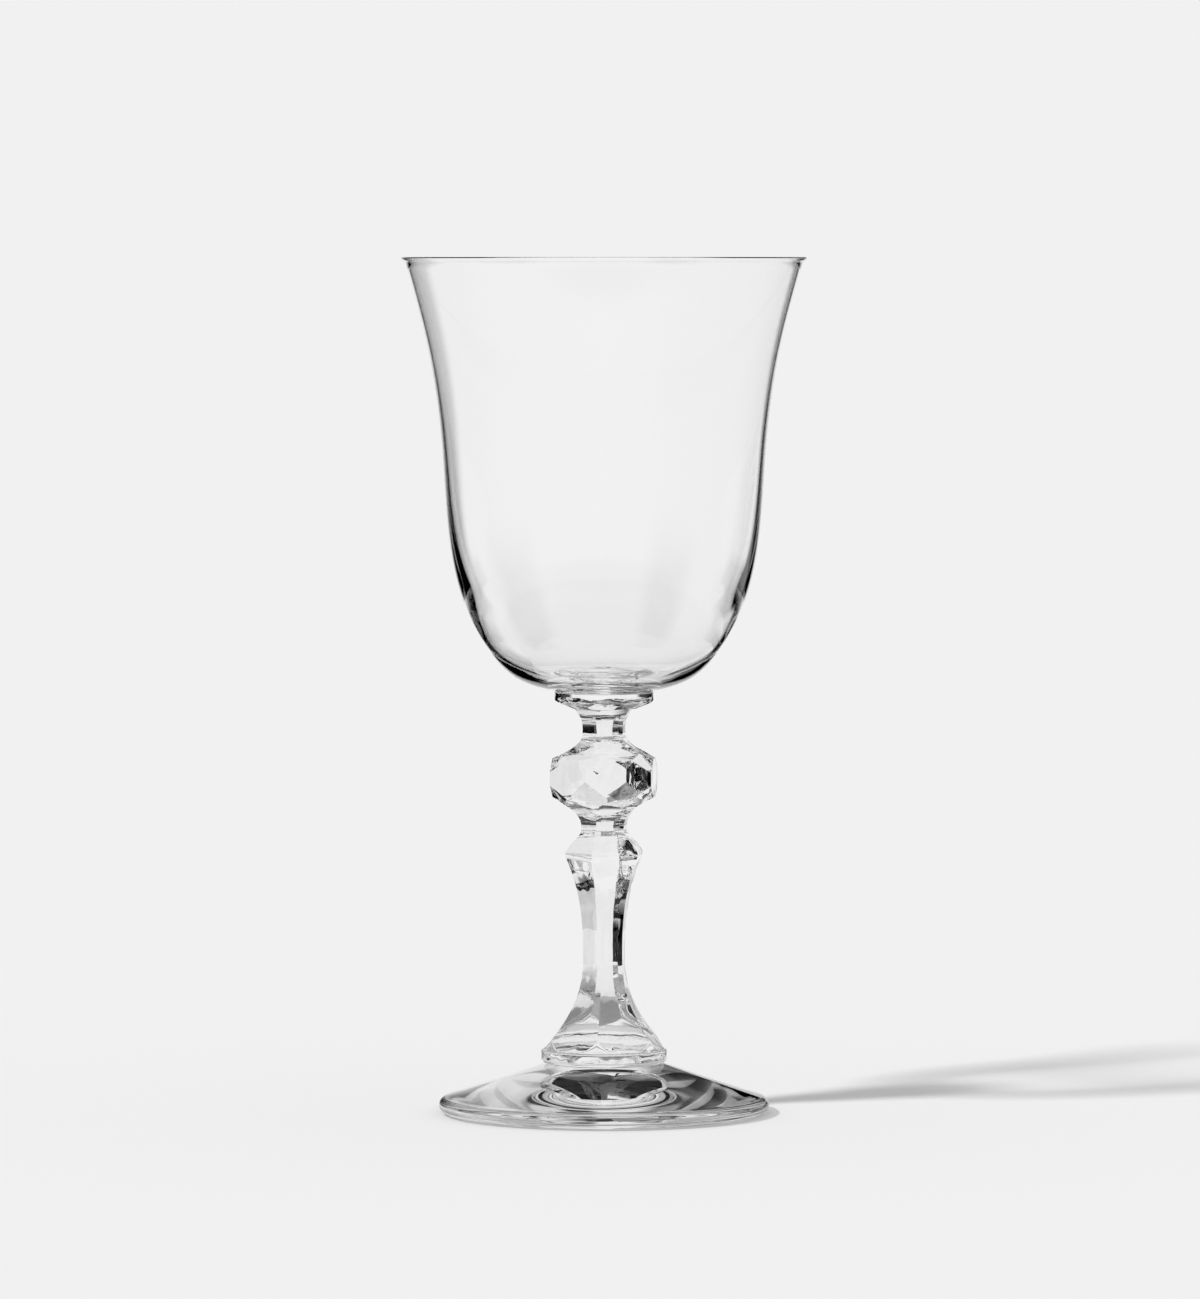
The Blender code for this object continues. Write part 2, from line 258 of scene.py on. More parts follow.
class StemSizes(bpy.types.PropertyGroup):
    """Corner radii and heights of the six-sided stem, from its bell upwards"""

    bell_radius: length("Bell", "Corner radius that the bell is swept to", 13.4 * MM)
    flange_radius: length("Flange", "Radius of the bell's round base", 11.8 * MM)
    flange_taper: length("Flange taper", "How much the round base draws in", 0.7 * MM)
    flange_height: length("Flange height", "Height over which the base draws in", 2.4 * MM)
    bell_height: length("Bell height", "Height of the bell", 17.6 * MM)
    waist_radius: length("Waist", "Corner radius of the waist", 4.5 * MM)
    waist_length: length("Waist length", "Length of the straight waist", 1.2 * MM)
    baluster_length: length("Baluster", "Length of the baluster above the waist", 18.4 * MM)
    baluster_radius: length("Baluster top", "Corner radius at the baluster's top", 7.8 * MM)
    band_height: length("Band", "Height of the narrow band under the shoulder", 1.4 * MM)
    ridge_radius: length("Ridge", "Corner radius of the shoulder's ridge", 8.35 * MM)
    shoulder_height: length("Shoulder", "Height of the shoulder", 5.0 * MM)
    lower_neck_radius: length("Lower neck", "Corner radius under the knop", 4.85 * MM)
    pavilion_height: length("Pavilion", "Height of the knop's hollow underside", 6.3 * MM)
    knop_radius: length("Knop", "Corner radius of the knop", 11.6 * MM)
    girdle_height: length("Girdle", "Height of the knop's upright sides", 7.7 * MM)
    crown_height: length("Crown", "Height of the knop's hollow top", 4.8 * MM)
    neck_radius: length("Neck", "Corner radius of the neck", 4.6 * MM)
    neck_length: length("Neck length", "Length of the straight neck", 1.2 * MM)
    head_radius: length("Head", "Corner radius at the weld to the collar", 6.4 * MM)
    corner_edge: length("Corner edge", "Length of the knop's upright corner edge that stays", 2.6 * MM)
    corner_angle: turn("Corner cut", "Lean of the knop's corner cuts from upright", 39.0)
    edge: length("Edge", "Width of the fire-polished edges", 0.4 * MM)


class FootSizes(bpy.types.PropertyGroup):
    """The wafer and the round foot under the stem"""

    wafer_radius: length("Wafer", "Radius of the wafer", 12.45 * MM)
    wafer_bevel: length("Wafer edge", "Width of the wafer's upper edge", 0.4 * MM)
    wafer_side: length("Wafer side", "Height at which the wafer starts to draw in", 0.9 * MM)
    weld_radius: length("Weld", "Radius of the weld between wafer and foot", 11.2 * MM)
    radius: length("Radius", "Radius of the foot", 32.7 * MM)
    rim_thickness: length("Rim", "Thickness of the foot's rim", 3.1 * MM)
    rim_round: length("Rim round", "How far the rounded rim stands out", 1.7 * MM)
    dome_radius: length("Dome", "Radius half way up the domed top", 18.0 * MM)
    dome_height: length("Dome height", "Height half way up the domed top", 7.5 * MM)
    neck_drop: length("Neck drop", "Drop from the weld to the dome under the wafer's edge", 0.45 * MM)
    ring_width: length("Ring", "Width of the resting ring", 2.8 * MM)
    hollow: length("Hollow", "Depth of the hollow underside", 2.2 * MM)


class GlassLook(bpy.types.PropertyGroup):
    """The clear glass"""

    tint: colour("Tint", "Colour of the glass", "#FFFFFF")
    ior: number("IOR", "Index of refraction of crystal glass", 1.51)
    wave: length("Wave", "Spacing of the blown wall's long waves", 16.0 * MM)
    wave_height: length("Wave height", "Height of the blown wall's long waves", 0.006 * MM)

    # The ripple is drawn higher and wider than the real one, which is too fine to show in a render
    ripple: length("Ripple", "Spacing of the pressed faces' ripple", 3.0 * MM)
    ripple_height: length("Ripple height", "Height of the pressed faces' ripple", 0.12 * MM)


class StageLook(bpy.types.PropertyGroup):
    """The pale floor, the light and the camera"""

    pale: colour("Pale", "Colour of floor and backdrop in the picture", "#F1F1F1")
    fill: number("Fill", "Strength of the even light on the floor", 0.52)
    key: number("Key", "Strength of the key light", 2.17)
    camera_distance: length("Distance", "Distance of the camera from the axis", 1.537)
    camera_azimuth: turn("Azimuth", "Turn of the camera round the glass", 7.0)
    focal_mm: number("Focal length", "Focal length in millimetres", 216.0)


class WineGlass(bpy.types.PropertyGroup):
    """Everything that can be set on the glass and its stage"""

    bowl: PointerProperty(type=BowlSizes)
    collar: PointerProperty(type=CollarSizes)
    stem: PointerProperty(type=StemSizes)
    foot: PointerProperty(type=FootSizes)
    glass: PointerProperty(type=GlassLook)
    stage: PointerProperty(type=StageLook)
    round_steps: IntProperty(
        name="Round steps", description="Faces round a turned piece", default=192, min=24
    )


def fair_curve(points, steps):
    """Points of a curve through the given (radius, height) points, with no sudden change of curvature."""
    path = np.array(points, dtype=float)
    gaps = np.linalg.norm(np.diff(path, axis=0), axis=1)
    count = len(path)
    rows = np.zeros((count, count))
    sums = np.zeros((count, 2))
    rows[0, 0], rows[0, 1] = 2, 1
    sums[0] = 3 * (path[1] - path[0]) / gaps[0]
    rows[-1, -1], rows[-1, -2] = 2, 1
    sums[-1] = 3 * (path[-1] - path[-2]) / gaps[-1]
    for index in range(1, count - 1):
        before, after = gaps[index - 1], gaps[index]
        rows[index, index - 1 : index + 2] = after, 2 * (before + after), before
        to_before = (path[index] - path[index - 1]) / before
        to_after = (path[index + 1] - path[index]) / after
        sums[index] = 3 * (after * to_before + before * to_after)
    slopes = np.linalg.solve(rows, sums)
    curve = [path[0]]
    for index, gap in enumerate(gaps):
        for step in range(1, steps + 1):
            t = step / steps
            ease = t * t * (3 - 2 * t)
            point = path[index] * (1 - ease) + path[index + 1] * ease
            leave = t * (1 - t) ** 2 * gap
            arrive = t * t * (1 - t) * gap
            curve.append(point + leave * slopes[index] - arrive * slopes[index + 1])
    return [(max(float(radius), 0.0), float(height)) for radius, height in curve]


def opening_curve(narrow, wide, power, steps):
    """Points after the narrow one up to the wide one, opening slowly and then faster."""
    points = []
    for step in range(1, steps + 1):
        t = step / steps
        radius = narrow[0] + (wide[0] - narrow[0]) * t**power
        points.append((radius, narrow[1] + (wide[1] - narrow[1]) * t))
    return points


def soft_step(narrow, wide, steps):
    """Points after the narrow one up to the wide one, along a curve that turns over at both ends."""
    points = []
    for step in range(1, steps + 1):
        t = step / steps
        ease = t * t * (3 - 2 * t)
        points.append((narrow[0] + (wide[0] - narrow[0]) * ease, narrow[1] + (wide[1] - narrow[1]) * t))
    return points


def arc(centre, across, up, start, end, steps):
    """Points of an arc about the centre with the half axes across and up, between two angles in degrees."""
    points = []
    for step in range(steps + 1):
        angle = math.radians(start + (end - start) * step / steps)
        points.append((centre[0] + across * math.cos(angle), centre[1] + up * math.sin(angle)))
    return points


def straight(start, end, steps):
    """Points after the start up to the end, on a straight line."""
    points = []
    for step in range(1, steps + 1):
        t = step / steps
        points.append((start[0] + (end[0] - start[0]) * t, start[1] + (end[1] - start[1]) * t))
    return points


def spun(outline, steps):
    """A closed body with the outline's (radius, height) points spun about Z, starting on -Y."""
    bm = bmesh.new()
    profile = [bm.verts.new((0.0, -radius, height)) for radius, height in outline]
    edges = [bm.edges.new(pair) for pair in zip(profile, profile[1:])]
    bmesh.ops.spin(
        bm,
        geom=profile + edges,
        cent=(0, 0, 0),
        axis=(0, 0, 1),
        angle=2 * math.pi,
        steps=steps,
        use_merge=True,
    )
    bmesh.ops.remove_doubles(bm, verts=bm.verts, dist=MERGE_DISTANCE)
    bmesh.ops.dissolve_degenerate(bm, edges=bm.edges, dist=MERGE_DISTANCE)
    bmesh.ops.recalc_face_normals(bm, faces=bm.faces)
    return bm


def six_ways(first, turned=0.0):
    """Level directions to the six corners, or with a first of a half to the six sides, starting at -Y."""
    ways = []
    for step in range(SIX):
        angle = 2 * math.pi * (step + first) / SIX - math.pi / 2 + turned
        ways.append(Vector((math.cos(angle), math.sin(angle), 0.0)))
    return ways


def split(bm, faces, point, normal, clear_outer):
    """Split the faces along a plane, and drop what lies on the side that the normal points to if asked."""
    verts = dict.fromkeys(vert for face in faces for vert in face.verts)
    edges = dict.fromkeys(edge for face in faces for edge in face.edges)
    return bmesh.ops.bisect_plane(
        bm,
        geom=[*faces, *edges, *verts],
        dist=MERGE_DISTANCE,
        plane_co=point,
        plane_no=normal,
        clear_outer=clear_outer,
    )


def cut_flat(bm, faces, point, normal):
    """Cut the faces off along a plane, on the side that the normal points to, and close the cut."""
    cut = split(bm, faces, point, normal, True)
    rim = [item for item in cut["geom_cut"] if isinstance(item, bmesh.types.BMEdge)]
    bmesh.ops.edgeloop_fill(bm, edges=rim)


def add_node(tree, kind, settings, links):
    """Add a node, set its sockets and properties, and link its inputs from the given outputs."""
    node = tree.nodes.new(kind)
    for name, value in settings.items():
        if isinstance(name, int) or name in node.inputs:
            node.inputs[name].default_value = value
        else:
            setattr(node, name, value)
    for name, source in links.items():
        tree.links.new(source, node.inputs[name])
    return node


def fill_ramp(ramp, stops):
    """Set a ramp to the given (position, lightness) stops."""
    while len(ramp.elements) < len(stops):
        ramp.elements.new(0.5)
    for element, (position, lightness) in zip(ramp.elements, stops):
        element.position = position
        element.color = (lightness, lightness, lightness, 1.0)


def heading_ramp(tree, parts, azimuth, stops):
    """A ramp over a place's heading, in degrees from straight behind the glass as the camera sees it."""
    heading = add_node(
        tree,
        "ShaderNodeMath",
        {"operation": "ARCTAN2"},
        {0: parts.outputs["X"], 1: parts.outputs["Y"]},
    )
    turns = add_node(
        tree,
        "ShaderNodeMath",
        {"operation": "MULTIPLY_ADD", 1: 0.5 / math.pi, 2: 0.5 + azimuth * 0.5 / math.pi},
        {0: heading.outputs["Value"]},
    )
    round_turn = add_node(tree, "ShaderNodeMath", {"operation": "FRACT"}, {0: turns.outputs["Value"]})
    ramp = add_node(tree, "ShaderNodeValToRGB", {}, {"Fac": round_turn.outputs["Value"]})
    fill_ramp(ramp.color_ramp, [(degrees / 360 + 0.5, lightness) for degrees, lightness in stops])
    return ramp


def mirrored_rays(tree, surfaces):
    """1 for light that was mirrored in the glass or came through fewer surfaces than given, or else 0."""
    rays = add_node(tree, "ShaderNodeLightPath", {}, {})
    mirrored = add_node(
        tree, "ShaderNodeMath", {"operation": "GREATER_THAN", 1: 0.5}, {0: rays.outputs["Glossy Depth"]}
    )
    few = add_node(
        tree,
        "ShaderNodeMath",
        {"operation": "LESS_THAN", 1: surfaces - 0.5},
        {0: rays.outputs["Transmission Depth"]},
    )
    return add_node(
        tree,
        "ShaderNodeMath",
        {"operation": "MAXIMUM"},
        {0: mirrored.outputs["Value"], 1: few.outputs["Value"]},
    )


def new_material(name):
    """An empty node material and its tree."""
    material = bpy.data.materials.new(name)
    material.use_nodes = True
    material.node_tree.nodes.clear()
    return material, material.node_tree


def crystal_glass(name, spacing, height, stretch):
    """Clear crystal glass with the faint waves that forming it hot leaves on its surface."""
    look = bpy.context.scene.wine_glass.glass
    material, tree = new_material(name)
    place = add_node(tree, "ShaderNodeTexCoord", {}, {})
    scaled = add_node(tree, "ShaderNodeMapping", {"Scale": stretch}, {"Vector": place.outputs["Object"]})
    waves = add_node(
        tree,
        "ShaderNodeTexNoise",
        {"Scale": 1 / spacing, "Detail": 1.0, "Roughness": 0.4},
        {"Vector": scaled.outputs["Vector"]},
    )
    bump = add_node(
        tree, "ShaderNodeBump", {"Strength": 1.0, "Distance": height}, {"Height": waves.outputs["Fac"]}
    )
    shader = add_node(
        tree,
        "ShaderNodeBsdfPrincipled",
        {
            "Base Color": (*look.tint, 1.0),
            "Roughness": 0.0,
            "IOR": look.ior,
            "Transmission Weight": 1.0,
        },
        {"Normal": bump.outputs["Normal"]},
    )
    rays = add_node(tree, "ShaderNodeLightPath", {}, {})
    facing = add_node(tree, "ShaderNodeLayerWeight", {"Blend": 0.5}, {})
    dimmed = add_node(
        tree,
        "ShaderNodeMapRange",
        {"From Min": SHADOW_EDGE_START, "From Max": 1.0, "To Min": SHADOW_CLEAR[name], "To Max": 0.0},
        {"Value": facing.outputs["Facing"]},
    )
    passed = add_node(tree, "ShaderNodeBsdfTransparent", {}, {"Color": dimmed.outputs["Result"]})
    lit = add_node(
        tree,
        "ShaderNodeMixShader",
        {},
        {0: rays.outputs["Is Shadow Ray"], 1: shader.outputs["BSDF"], 2: passed.outputs["BSDF"]},
    )
    add_node(tree, "ShaderNodeOutputMaterial", {}, {"Surface": lit.outputs["Shader"]})
    return material


def weld_seam():
    """The faces of a hot weld, where the glass goes on without a surface, so light passes straight on."""
    found = bpy.data.materials.get("hot_weld_seam")
    if found:
        return found
    material, tree = new_material("hot_weld_seam")
    clear = add_node(tree, "ShaderNodeBsdfTransparent", {"Color": NO_TINT}, {})
    add_node(tree, "ShaderNodeOutputMaterial", {}, {"Surface": clear.outputs["BSDF"]})
    return material


def mark_welds(bm, levels):
    """Give flat faces at a weld's level and inside its outline to the second material, the weld's."""
    for face in bm.faces:
        centre = face.calc_center_median()
        flat = abs(face.normal.z) > FLAT_NORMAL
        for level, inside in levels:
            if abs(centre.z - level) < MERGE_DISTANCE and flat and inside(centre):
                face.material_index = 1


def within(radius):
    """A test of whether a point lies inside a radius."""
    return lambda point: math.hypot(point.x, point.y) < radius


def add_piece(name, bm, material, slot):
    """Make the finished mesh an object that rides on the body and stands for its CAD node."""
    mesh = bpy.data.meshes.new(name)
    bm.to_mesh(mesh)
    bm.free()
    mesh.shade_smooth()
    mesh.materials.append(material)
    mesh.materials.append(weld_seam())
    piece = bpy.data.objects.new(name, mesh)
    bpy.context.scene.collection.objects.link(piece)
    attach(piece, BODY)
    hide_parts(slot)
    return piece


def steady_normals(piece):
    """Let the broad faces set the shading, so that flat facets stay flat up to their edges."""
    steady = piece.modifiers.new("facets stay flat", "WEIGHTED_NORMAL")
    steady.mode = "FACE_AREA"
    steady.weight = 60
    steady.keep_sharp = True


def bevel_sharp_edges(bm, angle, width, skip_levels):
    """Round the edges that are sharper than an angle, except at the welds' levels."""
    sharp = []
    for edge in bm.edges:
        heights = [vert.co.z for vert in edge.verts]
        at_weld = any(
            max(abs(height - level) for height in heights) < MERGE_DISTANCE for level in skip_levels
        )
        if not at_weld and len(edge.link_faces) == 2 and edge.calc_face_angle() > angle:
            sharp.append(edge)
    bmesh.ops.bevel(
        bm,
        geom=sharp,
        offset=width,
        offset_type="OFFSET",
        affect="EDGES",
        segments=3,
        profile=0.5,
        material=-1,
        clamp_overlap=True,
    )


class WINEGLASS_OT_bowl(bpy.types.Operator):
    """Model the blown bowl: an open shell with an everted lip and a thick floor"""

    bl_idname = "wineglass.bowl"
    bl_label = "Bowl"

    def execute(self, context):
        settings = context.scene.wine_glass
        size = settings.bowl
        base = LEVEL["bowl"]
        rim_round = size.rim_wall / 2
        rim = LEVEL["rim"] - base - rim_round
        lip = rim + rim_round - size.lip_drop
        outside = fair_curve(
            [
                (size.lip_radius, lip),
                (size.flare_radius, size.flare_height),
                (size.throat_radius, size.throat_height),
                (size.side_radius, size.side_height),
                (size.belly_radius, size.belly_height),
                (size.turn_radius, size.turn_height),
                (size.heel_radius, size.heel_height),
                (size.seat_radius, size.seat_height),
                (size.weld_radius, 0.0),
            ],
            BOWL_STEPS,
        )
        radii, heights = np.array(outside)[::-1].T
        thick_radius = float(np.interp(size.thick_height, heights, radii))
        swell_radius = float(np.interp(size.swell_height, heights, radii))
        inside = fair_curve(
            [
                (0.0, size.floor_wall),
                (size.seat_radius, size.seat_height + size.heel_wall),
                (size.heel_radius, size.heel_height + size.heel_wall),
                (size.turn_radius - size.turn_wall / 2, size.turn_height + size.turn_wall / 2),
                (thick_radius - size.thick_wall, size.thick_height),
                (swell_radius - size.swell_wall, size.swell_height),
                (size.side_radius - size.side_wall, size.side_height),
                (size.throat_radius - size.throat_wall, size.throat_height),
                (size.flare_radius - size.rim_wall, size.flare_height),
                (size.lip_radius - size.rim_wall, lip),
            ],
            BOWL_STEPS,
        )
        rim_turn = arc((size.rim_radius - rim_round, rim), rim_round, rim_round, 180, 0, 12)
        outline = inside + rim_turn + outside + straight((size.weld_radius, 0.0), (0.0, 0.0), 6)
        outline = [(radius, height + base) for radius, height in outline]
        bm = spun(outline, settings.round_steps)
        mark_welds(bm, [(base, within(size.weld_radius))])

        # Blown: long upright waves, along which the light mirrored in the wall sways a little
        look = settings.glass
        glass = crystal_glass("blown_crystal_glass", look.wave, look.wave_height, (1.0, 1.0, 0.35))
        add_piece("wine_bowl", bm, glass, "bowl")
        return {"FINISHED"}


class WINEGLASS_OT_collar(bpy.types.Operator):
    """Model the collar: a turned disc with six shallow facets cut under it"""

    bl_idname = "wineglass.collar"
    bl_label = "Collar"

    def execute(self, context):
        settings = context.scene.wine_glass
        size = settings.collar
        base, top = LEVEL["collar"], LEVEL["bowl"]
        weld_radius = settings.bowl.weld_radius
        outline = [(0.0, top)] + straight((0.0, top), (weld_radius, top), 4)
        outline += arc((size.radius - size.edge, top - size.edge), size.edge, size.edge, 90, 0, 5)
        outline += [(size.radius, base), (0.0, base)]
        bm = spun(outline, settings.round_steps)
        facet_height = top - base - size.side_height
        lean = (size.radius - size.base_apothem) / facet_height
        for outward in six_ways(0.5, size.turn):
            normal = (outward - Vector((0.0, 0.0, lean))).normalized()
            cut_flat(bm, list(bm.faces), outward * size.base_apothem + Vector((0.0, 0.0, base)), normal)

        # The stem's outline on the underside, so that the weld is as wide as the stem
        apothem = settings.stem.head_radius * math.cos(math.pi / SIX)
        sides = six_ways(0.5)
        for outward in sides:
            under = [face for face in bm.faces if face.normal.z < -FLAT_NORMAL]
            split(bm, under, outward * apothem, outward, False)

        def in_stem(point):
            return all(point.x * side.x + point.y * side.y <= apothem for side in sides)

        mark_welds(bm, [(top, within(weld_radius)), (base, in_stem)])

        # Fire-polished: a bright skin without tool marks, whose slight ripple breaks up what it mirrors
        look = settings.glass
        even = (1.0, 1.0, 1.0)
        glass = crystal_glass("fire_polished_collar_glass", look.ripple, look.ripple_height, even)
        piece = add_piece("collar_disc", bm, glass, "collar")
        piece.data.set_sharp_from_angle(angle=math.radians(COLLAR_EDGE))
        return {"FINISHED"}


class WINEGLASS_OT_stem(bpy.types.Operator):
    """Model the pressed stem: a six-sided sweep with a cut knop and a bell with a round base"""

    bl_idname = "wineglass.stem"
    bl_label = "Stem"

    def outline(self, size, base, top):
        """The corner line as (radius, height) points from the head down to the bell's base."""
        waist = base + size.bell_height
        baluster = waist + size.waist_length
        band = baluster + size.baluster_length
        ridge = band + size.band_height
        lower_neck = ridge + size.shoulder_height
        girdle = lower_neck + size.pavilion_height
        crown = girdle + size.girdle_height
        neck = crown + size.crown_height
        head = neck + size.neck_length
        neck_top = (size.neck_radius, head)
        neck_bottom = (size.neck_radius, neck)
        knop_top = (size.knop_radius, crown)
        knop_bottom = (size.knop_radius, girdle)
        under_knop = (size.lower_neck_radius, lower_neck)
        waist_top = (size.waist_radius, baluster)
        waist_bottom = (size.waist_radius, waist)
        points = [(0.0, top)]
        points += opening_curve(neck_top, (size.head_radius, top), *HEAD_CURVE)[::-1]
        points += [neck_top] + straight(neck_top, neck_bottom, 5)
        points += opening_curve(neck_bottom, knop_top, *CROWN_CURVE)
        points += straight(knop_top, knop_bottom, 3)
        points += opening_curve(under_knop, knop_bottom, *PAVILION_CURVE)[:-1][::-1]
        points.append(under_knop)
        points += soft_step(under_knop, (size.ridge_radius, ridge), SHOULDER_STEPS)
        points += opening_curve(waist_top, (size.baluster_radius, band), *BALUSTER_CURVE)[::-1]
        points += [waist_top] + straight(waist_top, waist_bottom, 4)
        points += opening_curve(waist_bottom, (size.bell_radius, base), *BELL_CURVE)
        points.append((0.0, base))
        return points, girdle, crown

    def execute(self, context):
        settings = context.scene.wine_glass
        size = settings.stem
        base, top = LEVEL["stem"], LEVEL["collar"]
        points, girdle, crown = self.outline(size, base, top)
        bm = spun(points, SIX)

        # The knop's corners, cut away above and below a short upright edge
        middle = (girdle + crown) / 2
        lowest = girdle - size.pavilion_height / 2
        highest = crown + size.crown_height / 2
        lean = math.tan(size.corner_angle)
        for outward in six_ways(0.0):
            for side in (1, -1):
                end = middle + side * size.corner_edge / 2
                point = outward * size.knop_radius + Vector((0.0, 0.0, end))
                normal = (outward + Vector((0.0, 0.0, side * lean))).normalized()
                knop = [face for face in bm.faces if lowest < face.calc_center_median().z < highest]
                cut_flat(bm, knop, point, normal)
        mesh = bpy.data.meshes.new("stem_sweep")
        bm.to_mesh(mesh)
        bm.free()
        sweep = bpy.data.objects.new("stem_sweep", mesh)
        context.scene.collection.objects.link(sweep)

        # The round base, turned on the bell, which leaves a scallop at the end of each side
        spare = size.bell_radius - size.flange_radius + size.flange_taper
        slope = size.flange_taper / size.flange_height
        ring = [
            (size.flange_radius - size.flange_taper, base + size.flange_height),
            (size.bell_radius + spare, base + size.flange_height),
            (size.bell_radius + spare, base - spare),
            (size.flange_radius + spare * slope, base - spare),
            (size.flange_radius - size.flange_taper, base + size.flange_height),
        ]
        ring_mesh = bpy.data.meshes.new("bell_turning")
        ring_bm = spun(ring, settings.round_steps)
        ring_bm.to_mesh(ring_mesh)
        ring_bm.free()
        turning = bpy.data.objects.new("bell_turning", ring_mesh)
        context.scene.collection.objects.link(turning)
        cut = sweep.modifiers.new("turn the base round", "BOOLEAN")
        cut.operation = "DIFFERENCE"
        cut.solver = "EXACT"
        cut.object = turning
        turned = bpy.data.meshes.new_from_object(sweep.evaluated_get(context.evaluated_depsgraph_get()))
        bm = bmesh.new()
        bm.from_mesh(turned)
        bpy.data.objects.remove(sweep)
        bpy.data.objects.remove(turning)
        bmesh.ops.remove_doubles(bm, verts=bm.verts, dist=MERGE_DISTANCE)
        bevel_sharp_edges(bm, math.radians(STEM_EDGE), size.edge, (base, top))
        bmesh.ops.recalc_face_normals(bm, faces=bm.faces)
        anywhere = within(size.bell_radius)
        mark_welds(bm, [(base, anywhere), (top, anywhere)])

        # Pressed in a mould: small ripples break up what the facets mirror into dark and light flecks
        look = settings.glass
        glass = crystal_glass("pressed_crystal_glass", look.ripple, look.ripple_height, (1.0, 1.0, 0.7))
        piece = add_piece("faceted_stem", bm, glass, "stem")
        steady_normals(piece)
        return {"FINISHED"}


class WINEGLASS_OT_wafer(bpy.types.Operator):
    """Model the wafer: a full-edged disc that draws in to its weld with the foot"""

    bl_idname = "wineglass.wafer"
    bl_label = "Wafer"

    def execute(self, context):
        settings = context.scene.wine_glass
        size = settings.foot
        base, top = LEVEL["wafer"], LEVEL["stem"]
        flange = settings.stem.flange_radius
        outline = [(0.0, top)] + straight((0.0, top), (flange, top), 4)
        bevel = size.wafer_bevel
        outline += arc((size.wafer_radius - bevel, top - bevel), bevel, bevel, 90, 0, 6)
        drawn_in = size.wafer_radius - size.weld_radius
        outline += arc((size.weld_radius, base + size.wafer_side), drawn_in, size.wafer_side, 0, -90, 14)
        outline += straight((size.weld_radius, base), (0.0, base), 4)
        bm = spun(outline, settings.round_steps)
        mark_welds(bm, [(top, within(flange)), (base, within(size.weld_radius))])

        # Fire-polished like the collar: its full edge shows as uneven bright and dark lines
        look = settings.glass
        even = (1.0, 1.0, 1.0)
        glass = crystal_glass("fire_polished_wafer_glass", look.ripple, look.ripple_height, even)
        piece = add_piece("wafer_disc", bm, glass, "wafer")
        piece.data.set_sharp_from_angle(angle=math.radians(DISC_EDGE))
        return {"FINISHED"}


class WINEGLASS_OT_foot(bpy.types.Operator):
    """Model the foot: a domed plate with a full rim, a resting ring and a hollow underside"""

    bl_idname = "wineglass.foot"
    bl_label = "Foot"

    def execute(self, context):
        settings = context.scene.wine_glass
        size = settings.foot
        top = LEVEL["wafer"]
        ring_outer = size.radius - size.rim_round
        ring_inner = ring_outer - size.ring_width
        dome = fair_curve(
            [
                (size.weld_radius, top),
                (size.wafer_radius, top - size.neck_drop),
                (size.dome_radius, size.dome_height),
                (ring_outer, size.rim_thickness),
            ],
            DOME_STEPS,
        )
        half = size.rim_thickness / 2
        rim = arc((ring_outer, half), size.rim_round, half, 90, -90, 24)
        hollow = []
        for step in range(HOLLOW_STEPS + 1):
            radius = ring_inner * (1 - step / HOLLOW_STEPS)
            hollow.append((radius, size.hollow * (1 - (radius / ring_inner) ** 2)))
        outline = [(0.0, top)] + straight((0.0, top), (size.weld_radius, top), 4)
        outline += dome[1:] + rim[1:] + hollow
        bm = spun(outline, settings.round_steps)
        mark_welds(bm, [(top, within(size.weld_radius))])

        # Spun flat while soft: a smooth skin with long waves, on which dark and light swirls bend a little
        look = settings.glass
        glass = crystal_glass("spun_foot_glass", look.wave, look.wave_height, (1.0, 1.0, 1.0))
        piece = add_piece("round_foot", bm, glass, "foot")
        piece.data.set_sharp_from_angle(angle=math.radians(DISC_EDGE))
        return {"FINISHED"}


